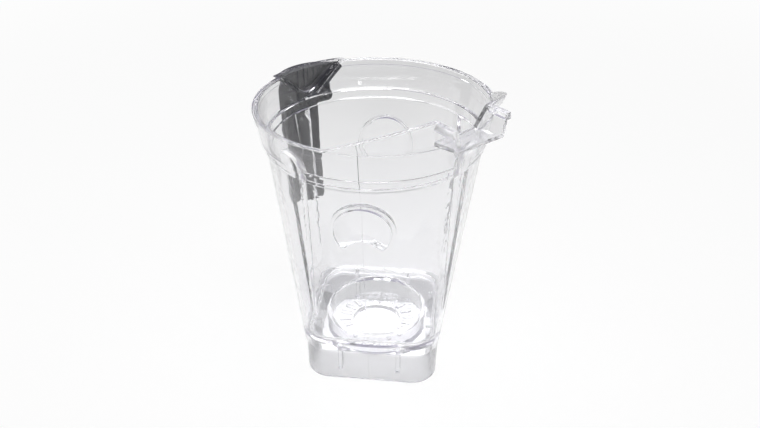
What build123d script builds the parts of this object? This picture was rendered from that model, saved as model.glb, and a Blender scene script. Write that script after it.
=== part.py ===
from build123d import *
from math import cos, radians, sin, tan
import os

os.makedirs("parts", exist_ok=True)

# All sizes are millimetres. The origin is the centre of the standing face, +Z is up, the spout points to +X.

# Square skirt that drops over the motor base
skirt_width = 100.0
skirt_corner = 19.0
skirt_wall = 3.2
skirt_height = 36.0
skirt_edge_round = 1.0

# Tapered body: a rounded square just wider than the skirt below, a circle at the step ring above
wall = 3.2
body_bottom_z = 28.0
body_overhang = 1.5
body_edge_round = 1.2
round_rest = 0.6
step_radius = 75.8
band_out = 1.1
band_height = 6.8
step_out = 2.2

# Flared collar, rim and raised pouring side
rim_z = 211.0
collar_height = 30.0
collar_wall = 2.7
collar_flare = 2.9
rim_width = 0.8
rim_depth = 5.0
crease_drop = 0.8
crease_in = 0.7
rim_inner_round = 0.8
rim_outer_round = 0.5
raise_slope = 0.4
raise_length = 46.0
raised_height = 21.5

# Spout trough
spout_length = 24.5
spout_flat = 18.0
spout_floor_height = 4.8
spout_rise = 3.6
spout_half_bottom = 15.2
spout_half_top = 19.6
spout_wall = 2.6
spout_lip_width = 1.4

# Floor, blade seat and drive bore
shelf_z = 37.5
seat_radius = 36.0
seat_z = 22.0
seat_edge_round = 1.5
floor_thickness = 4.0
floor_round = 6.0
bore_diameter = 38.0
tooth_count = 20
tooth_length = 9.0
tooth_width = 2.4
tooth_height = 1.8
tooth_inset = 1.5

# Four flow flutes, each turned a little from its corner of the skirt: grooves outside, bulges inside
flute_turn = 10.5
flute_rise = 18.5
flute_bottom_z = 64.0
flute_top_width = 17.0
flute_bottom_width = 3.0
flute_depth = 2.4
flute_bottom_depth = 0.3
flute_wall = 2.4
flute_dome = 10.0

# Two plain round thumb pads, recessed at the top and fading out below
pad_radius = 19.5
pad_drop = 34.0
pad_depth = 4.2
pad_wall = 2.4
pad_turn = -45.0

# Ribs inside the skirt
rib_spacing = 44.0
rib_thickness = 3.0
rib_depth = 6.0
rib_bottom_z = 8.0

# Handle root pocket in the jar wall
pocket_width = 56.0
pocket_height = 24.5
pocket_round = 11.0
pocket_depth = 5.7
pocket_edge_round = 1.5
pocket_back_round = 3.5

# Handle
finger_gap = 19.2
grip_thickness = 18.0
grip_width = 32.0
grip_drop = 5.0
grip_bottom_z = 88.0
grip_round = 7.5
grip_end_round = 4.0
head_round = 24.0
head_height = 25.0
head_drop = 3.0
head_side = 2.0
head_edge_round = 1.2
head_plan_radius = 36.0
head_thickness = 9.7

# Sizes that follow from the ones above
step_z = rim_z - collar_height
flute_top_z = step_z + flute_rise
pad_z = step_z - pad_drop
bottom_half = skirt_width / 2 + body_overhang
bottom_corner = skirt_corner + body_overhang
side_slope = (step_radius - bottom_half) / (step_z - body_bottom_z)
corner_slope = (step_radius - round_rest - bottom_corner) / (step_z - body_bottom_z)
inner_lift = wall * tan(radians(22.5))
inner_step_z = step_z + inner_lift
band_top_z = step_z + band_height
band_radius = step_radius + band_out + side_slope * band_height / 3
collar_z = band_top_z + step_out / 2
collar_radius = band_radius + step_out
crease_z = rim_z - crease_drop
collar_slope = collar_flare / (rim_z - rim_depth - collar_z)
over = 40.0
raised_z = rim_z + raised_height
top_z = raised_z + over
crease_radius = collar_radius + collar_slope * (crease_z - collar_z)
raise_bottom_radius = crease_radius - crease_in
top_radius = raise_bottom_radius + raise_slope * (top_z - crease_z)
flute_angles = [flute_turn, 90.0 - flute_turn, 270.0 + flute_turn]
handle_flute_angles = [180.0 + flute_turn]
pocket_back = collar_radius + pocket_depth
pocket_wall_back = pocket_back + wall
pocket_bottom_z = rim_z - pocket_height
spout_start = collar_radius - 14.0
spout_reach = collar_radius + spout_length
spout_floor_z = rim_z + spout_floor_height
raise_end_x = spout_reach - spout_flat
raise_start_x = raise_end_x - raise_length
grip_inner_x = step_radius + finger_gap
grip_outer_x = grip_inner_x + grip_thickness
grip_top_z = rim_z - grip_drop
head_top_z = rim_z - head_drop
head_bottom_z = head_top_z - head_height
head_reach = pocket_wall_back + head_thickness
bore_radius = bore_diameter / 2
under_z = skirt_height - skirt_wall
seat_under_z = seat_z - floor_thickness
far_out = 160.0


def side_distance(z):
    """Distance of the body's flat sides from the axis at a height."""
    return bottom_half + side_slope * (z - body_bottom_z)


def corner_round(z):
    """Corner radius of the body's section at a height."""
    return bottom_corner + corner_slope * (z - body_bottom_z)


def wall_radius(z, turn):
    """Distance from the axis to the body's outside at a height, turned a little from a corner."""
    centre = (side_distance(z) - corner_round(z)) * 2 ** 0.5
    across = centre * sin(radians(turn))
    return centre * cos(radians(turn)) + (corner_round(z) ** 2 - across ** 2) ** 0.5


def body_block(inset, low_z, high_z, edge_round):
    """Body with a rounded square section that grows into a circle, drawn in by an inset."""
    with BuildPart() as block:
        for z in (low_z, high_z):
            side = 2 * (side_distance(z) - inset)
            with BuildSketch(Plane.XY.offset(z)):
                RectangleRounded(side, side, corner_round(z) - inset, rotation=45)
        loft(ruled=True)
        fillet(faces().sort_by(Axis.Z)[0].edges(), radius=edge_round)
    return block.part


def rim_line(drop):
    """Corner points of the rim seen from the side: level, then rising to the spout."""
    return [
        (-far_out, rim_z - drop),
        (raise_start_x, rim_z - drop),
        (raise_end_x, raised_z - drop),
        (far_out, raised_z - drop),
    ]


def groove_radius(width, depth):
    """Radius of the round cutter that leaves a groove of this width and depth."""
    return (width * width / 4 + depth * depth) / (2 * depth)


def flute_cutters(angles, grow, end_z, dome):
    """Leaning round cutters, grown by the wall and given a dome for the inside of the jar."""
    low_round = groove_radius(flute_bottom_width, flute_bottom_depth)
    high_round = groove_radius(flute_top_width, flute_depth)
    low_out = wall_radius(flute_bottom_z, flute_turn) - flute_bottom_depth + low_round
    high_out = wall_radius(step_z, flute_turn) - flute_depth + high_round
    share = (end_z - dome - flute_bottom_z) / (step_z - flute_bottom_z)
    end_round = low_round + share * (high_round - low_round) + grow
    end_out = low_out + share * (high_out - low_out)
    with BuildPart() as cutters:
        for angle in angles:
            turn = radians(angle)
            with BuildSketch(Plane.XY.offset(flute_bottom_z)):
                with Locations((low_out * cos(turn), low_out * sin(turn))):
                    Circle(low_round + grow)
            with BuildSketch(Plane.XY.offset(end_z - dome)):
                with Locations((end_out * cos(turn), end_out * sin(turn))):
                    Circle(end_round)
            loft()
            if dome > 0:
                with Locations((end_out * cos(turn), end_out * sin(turn), end_z - dome)):
                    Sphere(end_round)
    return cutters.part


def pad_cutters(grow):
    """Two round plugs across the jar, hollowed to the upright floor of the pads."""
    pad_way = (cos(radians(pad_turn)), sin(radians(pad_turn)), 0)
    with BuildPart() as plugs:
        with BuildSketch(Plane(origin=(0, 0, pad_z), x_dir=(0, 0, 1), z_dir=pad_way)):
            Circle(pad_radius + grow)
        extrude(amount=far_out, both=True)
        with BuildSketch(Plane.XY):
            Circle(side_distance(pad_z + pad_radius) - pad_depth - grow)
        extrude(amount=top_z, mode=Mode.SUBTRACT)
    return plugs.part


def pocket_shape(grow, back):
    """Rounded triangle that opens at the rim, run outwards to the back of the handle root."""
    half = pocket_width / 2 + grow
    with BuildPart() as shape:
        with BuildSketch(Plane.YZ):
            with BuildLine():
                Polyline((-half, top_z), (-half, rim_z), (0, pocket_bottom_z - grow),
                         (half, rim_z), (half, top_z), close=True)
            make_face()
            tip = vertices().sort_by(Axis.Y)[0]
            fillet(tip, radius=pocket_round + grow)
        extrude(amount=-far_out)
        with BuildSketch(Plane.XY.offset(pocket_bottom_z - over)):
            Circle(back)
        extrude(amount=top_z, mode=Mode.INTERSECT)
    return shape.part


def inner_radius(z):
    """Inner radius of the collar at a height."""
    return raise_bottom_radius - collar_wall - collar_slope * (crease_z - z)


def pocket_edges(solid, mouth):
    """Long curved edges of the handle root pocket, at its mouth or at its back wall."""
    found = []
    for edge in solid.edges():
        middle = edge @ 0.5
        out = (middle.X ** 2 + middle.Y ** 2) ** 0.5
        wanted = inner_radius(middle.Z) if mouth else pocket_back
        inside_pocket = middle.X < 0 and abs(middle.Y) < pocket_width / 2
        level = pocket_bottom_z < middle.Z < rim_z
        long_curve = edge.geom_type != GeomType.LINE and edge.length > pocket_round
        if inside_pocket and level and long_curve and abs(out - wanted) < pocket_depth / 10:
            found.append(edge)
    return found


def spout_solid(half_low, half_high, start, end, drop):
    """Trough block with a floor that rises towards the lip."""
    low_z = spout_floor_z - drop
    with BuildPart() as solid:
        with BuildSketch(Plane.YZ.offset(start)):
            with BuildLine():
                Polyline((-half_low, low_z - over), (half_low, low_z - over), (half_low, low_z),
                         (half_high, raised_z), (half_high, top_z), (-half_high, top_z),
                         (-half_high, raised_z), (-half_low, low_z), close=True)
            make_face()
        extrude(amount=end - start)
        slope = spout_rise / (spout_reach - collar_radius)
        with BuildSketch(Plane.XZ):
            with BuildLine():
                Polyline((start, low_z - slope * (collar_radius - start)),
                         (end, low_z + slope * (end - collar_radius)),
                         (end, top_z), (start, top_z), close=True)
            make_face()
        extrude(amount=far_out, both=True, mode=Mode.INTERSECT)
    return solid.part


def rim_arcs(solid, inner):
    """Long arcs along the rim's top faces, on the inner or on the outer side."""
    found = []
    for face in solid.faces().filter_by(GeomType.PLANE):
        level = face.center().Z
        below_rim = level < rim_z - crease_drop / 2
        if face.normal_at().Z < 0.8 or below_rim or abs(level - spout_floor_z) < spout_rise:
            continue
        for edge in face.edges():
            middle = edge @ 0.5
            middle_line = raise_bottom_radius - collar_wall / 2 + raise_slope * (middle.Z - crease_z)
            out = (middle.X ** 2 + middle.Y ** 2) ** 0.5
            long_arc = edge.geom_type != GeomType.LINE and edge.length > collar_radius / 2
            if long_arc and (out < middle_line) == inner:
                found.append(edge)
    return found


def trough_edges(solid):
    """Straight top edges of the two trough walls."""
    found = []
    for edge in solid.edges().filter_by(GeomType.LINE):
        middle = edge @ 0.5
        if abs(middle.Z - raised_z) < 0.05 and abs((edge % 0.5).X) > 0.9 and middle.X > raise_end_x:
            found.append(edge)
    return found


# Rim bead: a band that follows the rim line all the way round, and along the trough edges
with BuildPart() as rim_band:
    with BuildSketch(Plane.XZ):
        with BuildLine():
            Polyline((0, step_z), (collar_radius + rim_width, collar_z),
                     (crease_radius + rim_width, crease_z),
                     (top_radius + rim_width, top_z), (0, top_z), close=True)
        make_face()
    revolve(axis=Axis.Z)
    lip_half = spout_half_top + spout_wall + spout_lip_width
    with BuildSketch(Plane.XY.offset(step_z)):
        with Locations(((spout_start + spout_reach) / 2, 0)):
            Rectangle(spout_reach - spout_start, 2 * lip_half)
    extrude(amount=top_z - step_z)
    with BuildSketch(Plane.XZ):
        with BuildLine():
            Polyline(*rim_line(rim_depth), *reversed(rim_line(0)), close=True)
        make_face()
    extrude(amount=far_out, both=True, mode=Mode.INTERSECT)

# Outside of the jar as one solid block
with BuildPart() as outer:
    with BuildSketch(Plane.XY):
        RectangleRounded(skirt_width, skirt_width, skirt_corner, rotation=45)
    extrude(amount=skirt_height)
    fillet(faces().sort_by(Axis.Z)[0].edges(), radius=skirt_edge_round)
    add(body_block(0, body_bottom_z, step_z, body_edge_round))
    with BuildSketch(Plane.XZ):
        with BuildLine():
            Polyline((0, step_z), (step_radius + round_rest / 2, step_z),
                     (step_radius + band_out, step_z + band_out), (band_radius, band_top_z),
                     (collar_radius, collar_z), (crease_radius, crease_z), (raise_bottom_radius, crease_z),
                     (top_radius, top_z), (0, top_z), close=True)
        make_face()
    revolve(axis=Axis.Z)
    add(flute_cutters(flute_angles + handle_flute_angles, 0, step_z, 0), mode=Mode.SUBTRACT)
    add(pad_cutters(0), mode=Mode.SUBTRACT)
    add(pocket_shape(wall, pocket_wall_back))
    spout_outer_low = spout_half_bottom + spout_wall
    spout_outer_high = spout_half_top + spout_wall
    add(spout_solid(spout_outer_low, spout_outer_high, spout_start, spout_reach, spout_wall))
    with BuildSketch(Plane.XZ):
        with BuildLine():
            Polyline(*rim_line(0), (far_out, top_z + over), (-far_out, top_z + over), close=True)
        make_face()
    extrude(amount=far_out, both=True, mode=Mode.SUBTRACT)
    add(rim_band.part)

# Inside of the jar: body and collar drawn in by the wall, blade seat, flutes, pads and trough channel
with BuildPart() as inside:
    add(body_block(wall, shelf_z, inner_step_z, floor_round))
    with BuildSketch(Plane.XZ):
        with BuildLine():
            Polyline((0, inner_step_z), (side_distance(inner_step_z) - wall, inner_step_z),
                     (step_radius + band_out - wall, inner_step_z + band_out),
                     (band_radius - wall, band_top_z + inner_lift),
                     (collar_radius - wall, collar_z + inner_lift),
                     (raise_bottom_radius - collar_wall, crease_z), (top_radius - collar_wall, top_z),
                     (0, top_z), close=True)
        make_face()
    revolve(axis=Axis.Z)
    seat_land = seat_radius + 2 * seat_edge_round
    with BuildSketch(Plane.XZ):
        with BuildLine():
            Polyline((0, seat_z), (seat_radius, seat_z), (seat_radius, shelf_z), (seat_land, shelf_z),
                     (seat_land, shelf_z + seat_edge_round), (0, shelf_z + seat_edge_round), close=True)
        make_face()
        seat_edge = vertices().sort_by_distance((seat_radius, shelf_z))[0]
        fillet(seat_edge, radius=seat_edge_round)
    revolve(axis=Axis.Z)
    add(flute_cutters(flute_angles, flute_wall, flute_top_z, flute_dome), mode=Mode.SUBTRACT)
    add(flute_cutters(handle_flute_angles, flute_wall, step_z, flute_dome), mode=Mode.SUBTRACT)
    add(pad_cutters(pad_wall), mode=Mode.SUBTRACT)
    add(spout_solid(spout_half_bottom, spout_half_top, 0, spout_reach + over, 0))

# Handle root pocket with a scooped back
with BuildPart() as pocket:
    add(pocket_shape(0, pocket_back))
    fillet(pocket_edges(pocket.part, False), radius=pocket_back_round)

# Hollow under the floor, around the sunk seat
with BuildPart() as underside:
    inner_width = skirt_width - 2 * skirt_wall
    with BuildSketch(Plane.XY):
        RectangleRounded(inner_width, inner_width, skirt_corner - skirt_wall, rotation=45)
    extrude(amount=under_z)
    with BuildSketch(Plane.XY.offset(seat_under_z)):
        Circle(seat_radius + wall)
    extrude(amount=under_z, mode=Mode.SUBTRACT)

with BuildPart() as jar:
    add(outer.part)
    add(inside.part, mode=Mode.SUBTRACT)
    add(underside.part, mode=Mode.SUBTRACT)
    with BuildSketch(Plane.XY):
        Circle(bore_radius)
    extrude(amount=shelf_z, mode=Mode.SUBTRACT)
    with BuildSketch(Plane.XY.offset(seat_z)):
        with PolarLocations(bore_radius + tooth_inset + tooth_length / 2, tooth_count):
            Rectangle(tooth_length, tooth_width)
    extrude(amount=tooth_height)
    rib_centre = skirt_width / 2 - skirt_wall - rib_depth / 2
    with BuildSketch(Plane.XY.offset(rib_bottom_z)):
        with Locations(Rotation(0, 0, 45)):
            with PolarLocations(0, 4):
                with Locations((rib_centre, rib_spacing / 2), (rib_centre, -rib_spacing / 2)):
                    Rectangle(rib_depth, rib_thickness)
    extrude(amount=under_z - rib_bottom_z)
    fillet(rim_arcs(jar.part, True), radius=rim_inner_round)
    fillet(rim_arcs(jar.part, False), radius=rim_outer_round)
    fillet(trough_edges(jar.part), radius=rim_inner_round)
    add(pocket.part, mode=Mode.SUBTRACT)
    fillet(pocket_edges(jar.part, True), radius=pocket_edge_round)

with BuildPart() as handle:
    with BuildSketch(Plane.XZ):
        with BuildLine():
            Polyline((-seat_radius, grip_top_z), (-grip_outer_x, grip_top_z), (-grip_outer_x, grip_bottom_z),
                     (-grip_inner_x, grip_bottom_z), (-grip_inner_x, head_bottom_z),
                     (-seat_radius, head_bottom_z), close=True)
        make_face()
        fillet(vertices().sort_by_distance((-grip_outer_x, grip_top_z))[0], radius=head_round)
        fillet(vertices().sort_by_distance((-grip_inner_x, head_bottom_z))[0], radius=grip_round)
    extrude(amount=grip_width / 2, both=True)
    fillet(edges().filter_by(Axis.Z).group_by(Axis.X)[0], radius=grip_round)
    fillet(edges().filter_by(Axis.Z).group_by(Axis.X)[-2], radius=grip_end_round)
    fillet(faces().sort_by(Axis.Z)[0].edges(), radius=grip_end_round)
    with BuildPart(mode=Mode.PRIVATE) as head:
        add(pocket_shape(wall + head_side, head_reach))
        with BuildSketch(Plane.XY.offset(head_top_z)):
            Rectangle(2 * far_out, 2 * far_out)
        extrude(amount=top_z, mode=Mode.SUBTRACT)
        with BuildSketch(Plane.XY):
            with Locations((head_plan_radius - head_reach, 0)):
                Circle(head_plan_radius)
        extrude(amount=top_z, mode=Mode.INTERSECT)
        fillet(faces().sort_by(Axis.Z)[-1].edges(), radius=head_edge_round)
    add(head.part)
    add(outer.part, mode=Mode.SUBTRACT)

jar.part.label = "jar"
handle.part.label = "handle"
export_step(jar.part, "parts/jar.step")
export_step(handle.part, "parts/handle.step")
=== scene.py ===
import math

import bpy
from mathutils import Matrix, Vector

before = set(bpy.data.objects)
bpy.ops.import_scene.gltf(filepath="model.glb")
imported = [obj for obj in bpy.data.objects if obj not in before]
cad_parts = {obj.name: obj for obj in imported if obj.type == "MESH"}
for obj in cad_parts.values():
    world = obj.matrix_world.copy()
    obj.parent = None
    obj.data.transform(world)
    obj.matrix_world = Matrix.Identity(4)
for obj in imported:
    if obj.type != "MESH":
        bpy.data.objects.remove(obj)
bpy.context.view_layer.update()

# The place of the camera and the way it looks, as found from the jar's outline.
camera_place = Vector((0.4042844, -0.3097174, 0.4302276))
camera_right = Vector((0.6155, 0.7881, -0.0050))
camera_up = Vector((-0.4078, 0.3238, 0.8537))
camera_lens = 37.895
sensor_width = 36.0

# The jar's clear plastic.
clear_tint = (0.972, 0.973, 0.98, 1)
# The skirt's grey tint is painted shade: it darkens the frosted skirt in place of the shade under the
# jar.
frost_and_painted_shade_tint = (0.60, 0.602, 0.61, 1)
clear_share = 0.991
clear_shadow = (0.985, 0.985, 0.987, 1)
clear_index = 1.54
clear_rough_low = 0.006
clear_rough_high = 0.03
frost_top = 0.028
frost_fade = 0.003
frost_reach = 0.043
frost_rough = 0.22
frost_even = 0.8
frost_mottle = 0.4
haze_scale = 38.0
haze_detail = 4.0
ripple_scale = 26.0
ripple_detail = 1.0
ripple_strength = 0.03
ripple_height = 0.001

# The parting line of the mould, in the upright plane through both thumb pads.
seam_across = (math.cos(math.radians(45)), math.sin(math.radians(45)), 0)
seam_half_width = 0.0004
seam_height = 0.00012

# The handle's dark plastic.
dark_deep = (0.009, 0.0095, 0.0125, 1)
dark_pale = (0.016, 0.017, 0.021, 1)
dark_index = 1.5
dark_gloss = 0.3
dark_rough_low = 0.36
dark_rough_high = 0.50
cloud_scale = 60.0
cloud_detail = 5.0
cloud_low = 0.3
cloud_high = 0.75
cloud_share = 0.6
grain_scale = 2600.0
grain_detail = 2.0
grain_strength = 0.12
grain_height = 0.0002

# The studio. The floor as the camera sees it turns white with distance, so that it has no far edge.
white = (1, 1, 1, 1)
floor_side = 6.0
floor_drop = 0.0004
floor_colour = (0.93, 0.93, 0.93, 1)
floor_glow_seen = 0.82
floor_near = 0.25
floor_far = 1.4
floor_glow_mirrored = 0.1
sky_low = (0.78, 0.78, 0.79, 1)
sky_low_at = 0.05
sky_middle = (0.36, 0.34, 0.45, 1)
sky_middle_at = 0.45
sky_high = (0.30, 0.29, 0.35, 1)
sky_light = 0.3
path_bounces = 128
lamps = {
    "lamp_over": {
        "place": (0, 0, 0.9), "aim": (0, 0, 0.1), "width": 0.5, "height": 0.5, "power": 4.6
    },
    "lamp_back": {
        "place": (-0.8, 0.62, 1.2), "aim": (0, 0, 0.2), "width": 0.4, "height": 0.3, "power": 1.5
    },
    "lamp_left": {
        "place": (-0.75, -0.85, 0.75), "aim": (0, 0, 0.12), "width": 0.5, "height": 0.9, "power": 2.5
    },
    "lamp_right": {
        "place": (1.0, 0.55, 0.6), "aim": (0, 0, 0.12), "width": 0.4, "height": 0.9, "power": 2
    },
    "lamp_small": {
        "place": (0.674, -0.262, 0.143), "aim": (-0.067, 0.037, 0.189),
        "width": 0.05, "height": 0.016, "power": 0.06
    },
}


class Number:
    """A socket that carries a number. Sums and products written with it add Math nodes."""

    def __init__(self, finish, socket):
        self.finish = finish
        self.socket = socket

    def math(self, operation, first, second):
        made = self.finish.node("ShaderNodeMath", {"operation": operation}, {0: first, 1: second})
        return made.number("Value")

    def __add__(self, other):
        return self.math("ADD", self, other)

    def __radd__(self, other):
        return self.math("ADD", other, self)

    def __rsub__(self, other):
        return self.math("SUBTRACT", other, self)

    def __mul__(self, other):
        return self.math("MULTIPLY", self, other)

    def __rmul__(self, other):
        return self.math("MULTIPLY", other, self)

    def __truediv__(self, other):
        return self.math("DIVIDE", self, other)

    def larger(self, other):
        return self.math("MAXIMUM", self, other)


class Made:
    """A node in a finish, with its outputs by name."""

    def __init__(self, finish, node):
        self.finish = finish
        self.made = node

    def out(self, name):
        return self.made.outputs[name]

    def number(self, name):
        return Number(self.finish, self.made.outputs[name])


class Finish:
    """A node tree of a material or of the world, filled node by node."""

    def __init__(self, tree):
        self.tree = tree
        self.tree.nodes.clear()

    def node(self, kind, settings, sockets):
        made = self.tree.nodes.new(kind)
        for name, value in settings.items():
            if name == "stops":
                ramp = made.color_ramp
                for place, (at, colour) in enumerate(value):
                    stop = ramp.elements[place] if place < 2 else ramp.elements.new(at)
                    stop.position = at
                    stop.color = colour
            else:
                setattr(made, name, value)
        for name, value in sockets.items():
            if isinstance(value, Number):
                value = value.socket
            if isinstance(value, bpy.types.NodeSocket):
                self.tree.links.new(value, made.inputs[name])
            else:
                made.inputs[name].default_value = value
        return Made(self, made)


def new_material(name):
    material = bpy.data.materials.new(name)
    material.use_nodes = True
    return material, Finish(material.node_tree)


def put_material(node_name, material):
    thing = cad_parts[node_name]
    thing.data.materials.clear()
    thing.data.materials.append(material)


def clear_plastic():
    material, finish = new_material("clear_plastic_polished")
    place = finish.node("ShaderNodeTexCoord", {}, {}).out("Object")
    haze = finish.node(
        "ShaderNodeTexNoise", {}, {"Vector": place, "Scale": haze_scale, "Detail": haze_detail}
    )
    polished = clear_rough_low + (clear_rough_high - clear_rough_low) * haze.number("Fac")
    apart = finish.node("ShaderNodeSeparateXYZ", {}, {"Vector": place})
    out_squared = apart.number("X") * apart.number("X") + apart.number("Y") * apart.number("Y")
    low = finish.node(
        "ShaderNodeMapRange",
        {},
        {"Value": apart.number("Z"), "From Min": frost_top, "From Max": frost_top - frost_fade},
    )
    outside = finish.node(
        "ShaderNodeMath", {"operation": "GREATER_THAN"}, {0: out_squared, 1: frost_reach ** 2}
    )
    # Mask of the skirt below frost_top and outside the bore: it roughens the surface as real frost and
    # greys it as painted shade.
    frosted_and_painted_shade = low.number("Result") * outside.number("Value")
    roughness = polished + frosted_and_painted_shade * (frost_rough * (frost_even + frost_mottle * haze.number("Fac")))
    tint = finish.node(
        "ShaderNodeValToRGB", {"stops": [(0.0, clear_tint), (1.0, frost_and_painted_shade_tint)]}, {"Fac": frosted_and_painted_shade}
    )
    flow = finish.node(
        "ShaderNodeTexNoise", {}, {"Vector": place, "Scale": ripple_scale, "Detail": ripple_detail}
    )
    ripple = finish.node(
        "ShaderNodeBump",
        {},
        {"Strength": ripple_strength, "Distance": ripple_height, "Height": flow.number("Fac")},
    )
    aside = finish.node("ShaderNodeVectorMath", {"operation": "DOT_PRODUCT"}, {0: place, 1: seam_across})
    aside = aside.number("Value")
    ridge = (1.0 - aside.larger(aside * -1.0) / seam_half_width).larger(0.0)
    seam = finish.node(
        "ShaderNodeBump",
        {},
        {"Strength": 1.0, "Distance": seam_height, "Height": ridge, "Normal": ripple.out("Normal")},
    )
    plastic = finish.node(
        "ShaderNodeBsdfPrincipled",
        {},
        {
            "Base Color": tint.out("Color"),
            "Roughness": roughness,
            "IOR": clear_index,
            "Transmission Weight": clear_share,
            "Normal": seam.out("Normal"),
        },
    )
    ray = finish.node("ShaderNodeLightPath", {}, {})
    passing = finish.node("ShaderNodeBsdfTransparent", {}, {"Color": clear_shadow})
    mixed = finish.node(
        "ShaderNodeMixShader",
        {},
        {0: ray.number("Is Shadow Ray"), 1: plastic.out("BSDF"), 2: passing.out("BSDF")},
    )
    finish.node("ShaderNodeOutputMaterial", {}, {"Surface": mixed.out("Shader")})
    return material


def dark_plastic():
    material, finish = new_material("dark_plastic_satin")
    place = finish.node("ShaderNodeTexCoord", {}, {}).out("Object")
    cloud = finish.node(
        "ShaderNodeTexNoise", {}, {"Vector": place, "Scale": cloud_scale, "Detail": cloud_detail}
    )
    grain = finish.node(
        "ShaderNodeTexNoise", {}, {"Vector": place, "Scale": grain_scale, "Detail": grain_detail}
    )
    colour = finish.node(
        "ShaderNodeValToRGB",
        {"stops": [(cloud_low, dark_deep), (cloud_high, dark_pale)]},
        {"Fac": cloud.number("Fac")},
    )
    mottle = cloud.number("Fac") * cloud_share + grain.number("Fac") * (1 - cloud_share)
    roughness = dark_rough_low + (dark_rough_high - dark_rough_low) * mottle
    skin = finish.node(
        "ShaderNodeBump",
        {},
        {"Strength": grain_strength, "Distance": grain_height, "Height": grain.number("Fac")},
    )
    plastic = finish.node(
        "ShaderNodeBsdfPrincipled",
        {},
        {
            "Base Color": colour.out("Color"),
            "Roughness": roughness,
            "IOR": dark_index,
            "Specular IOR Level": dark_gloss,
            "Normal": skin.out("Normal"),
        },
    )
    finish.node("ShaderNodeOutputMaterial", {}, {"Surface": plastic.out("BSDF")})
    return material


def studio_floor():
    material, finish = new_material("studio_floor_pale")
    matt = finish.node("ShaderNodeBsdfDiffuse", {}, {"Color": floor_colour})
    glow = finish.node("ShaderNodeEmission", {}, {"Color": white, "Strength": 1.0})
    ray = finish.node("ShaderNodeLightPath", {}, {})
    mirrored = ray.number("Is Glossy Ray").larger(ray.number("Is Transmission Ray"))
    place = finish.node("ShaderNodeTexCoord", {}, {}).out("Object")
    away = finish.node("ShaderNodeVectorMath", {"operation": "LENGTH"}, {0: place})
    fading = finish.node(
        "ShaderNodeMapRange",
        {},
        {
            "Value": away.number("Value"),
            "From Min": floor_near,
            "From Max": floor_far,
            "To Min": floor_glow_seen,
            "To Max": 1.0,
        },
    )
    seen = ray.number("Is Camera Ray") * fading.number("Result")
    share = seen.larger(mirrored * floor_glow_mirrored)
    mixed = finish.node(
        "ShaderNodeMixShader", {}, {0: share, 1: matt.out("BSDF"), 2: glow.out("Emission")}
    )
    finish.node("ShaderNodeOutputMaterial", {}, {"Surface": mixed.out("Shader")})
    mesh = bpy.data.meshes.new("studio_floor")
    turns = [(-1, -1), (1, -1), (1, 1), (-1, 1)]
    corners = [(x * floor_side, y * floor_side, -floor_drop) for x, y in turns]
    mesh.from_pydata(corners, [], [(0, 1, 2, 3)])
    mesh.materials.append(material)
    floor = bpy.data.objects.new("studio_floor", mesh)
    bpy.context.scene.collection.objects.link(floor)


def studio_world():
    world = bpy.data.worlds.new("studio_world")
    world.use_nodes = True
    bpy.context.scene.world = world
    finish = Finish(world.node_tree)
    way = finish.node("ShaderNodeTexCoord", {}, {}).out("Generated")
    height = finish.node("ShaderNodeSeparateXYZ", {}, {"Vector": way}).number("Z")
    shade = finish.node(
        "ShaderNodeValToRGB",
        {"stops": [(sky_low_at, sky_low), (sky_middle_at, sky_middle), (1.0, sky_high)]},
        {"Fac": height},
    )
    ray = finish.node("ShaderNodeLightPath", {}, {})
    mirrored = ray.number("Is Glossy Ray").larger(ray.number("Is Transmission Ray"))
    light = finish.node("ShaderNodeBackground", {}, {"Color": white, "Strength": sky_light})
    round_about = finish.node("ShaderNodeBackground", {}, {"Color": shade.out("Color"), "Strength": 1.0})
    backdrop = finish.node("ShaderNodeBackground", {}, {"Color": white, "Strength": 1.0})
    soft = finish.node(
        "ShaderNodeMixShader",
        {},
        {0: mirrored, 1: light.out("Background"), 2: round_about.out("Background")},
    )
    whole = finish.node(
        "ShaderNodeMixShader",
        {},
        {0: ray.number("Is Camera Ray"), 1: soft.out("Shader"), 2: backdrop.out("Background")},
    )
    finish.node("ShaderNodeOutputWorld", {}, {"Surface": whole.out("Shader")})


def soft_lamp(name, place, aim, width, height, power):
    data = bpy.data.lights.new(name, "AREA")
    data.shape = "RECTANGLE"
    data.size = width
    data.size_y = height
    data.energy = power
    lamp = bpy.data.objects.new(name, data)
    lamp.location = place
    lamp.rotation_euler = (Vector(aim) - Vector(place)).to_track_quat("-Z", "Y").to_euler()
    bpy.context.scene.collection.objects.link(lamp)


def photo_camera():
    data = bpy.data.cameras.new("photo_camera")
    data.sensor_fit = "HORIZONTAL"
    data.sensor_width = sensor_width
    data.lens = camera_lens
    data.clip_start = 0.01
    data.clip_end = 50.0
    camera = bpy.data.objects.new("photo_camera", data)
    right = camera_right.normalized()
    back = right.cross(camera_up).normalized()
    up = back.cross(right)
    turn = Matrix((right, up, back)).transposed()
    camera.matrix_world = Matrix.Translation(camera_place) @ turn.to_4x4()
    bpy.context.scene.collection.objects.link(camera)
    bpy.context.scene.camera = camera


put_material("jar", clear_plastic())
put_material("handle", dark_plastic())

studio_floor()
studio_world()
for lamp_name, lamp in lamps.items():
    soft_lamp(lamp_name, **lamp)
photo_camera()

# Light crosses many clear faces at the edges of the jar and runs far along its thin walls.
bpy.context.scene.cycles.max_bounces = path_bounces
bpy.context.scene.cycles.transmission_bounces = path_bounces
bpy.context.scene.cycles.glossy_bounces = path_bounces

bpy.context.scene.view_settings.view_transform = "Standard"
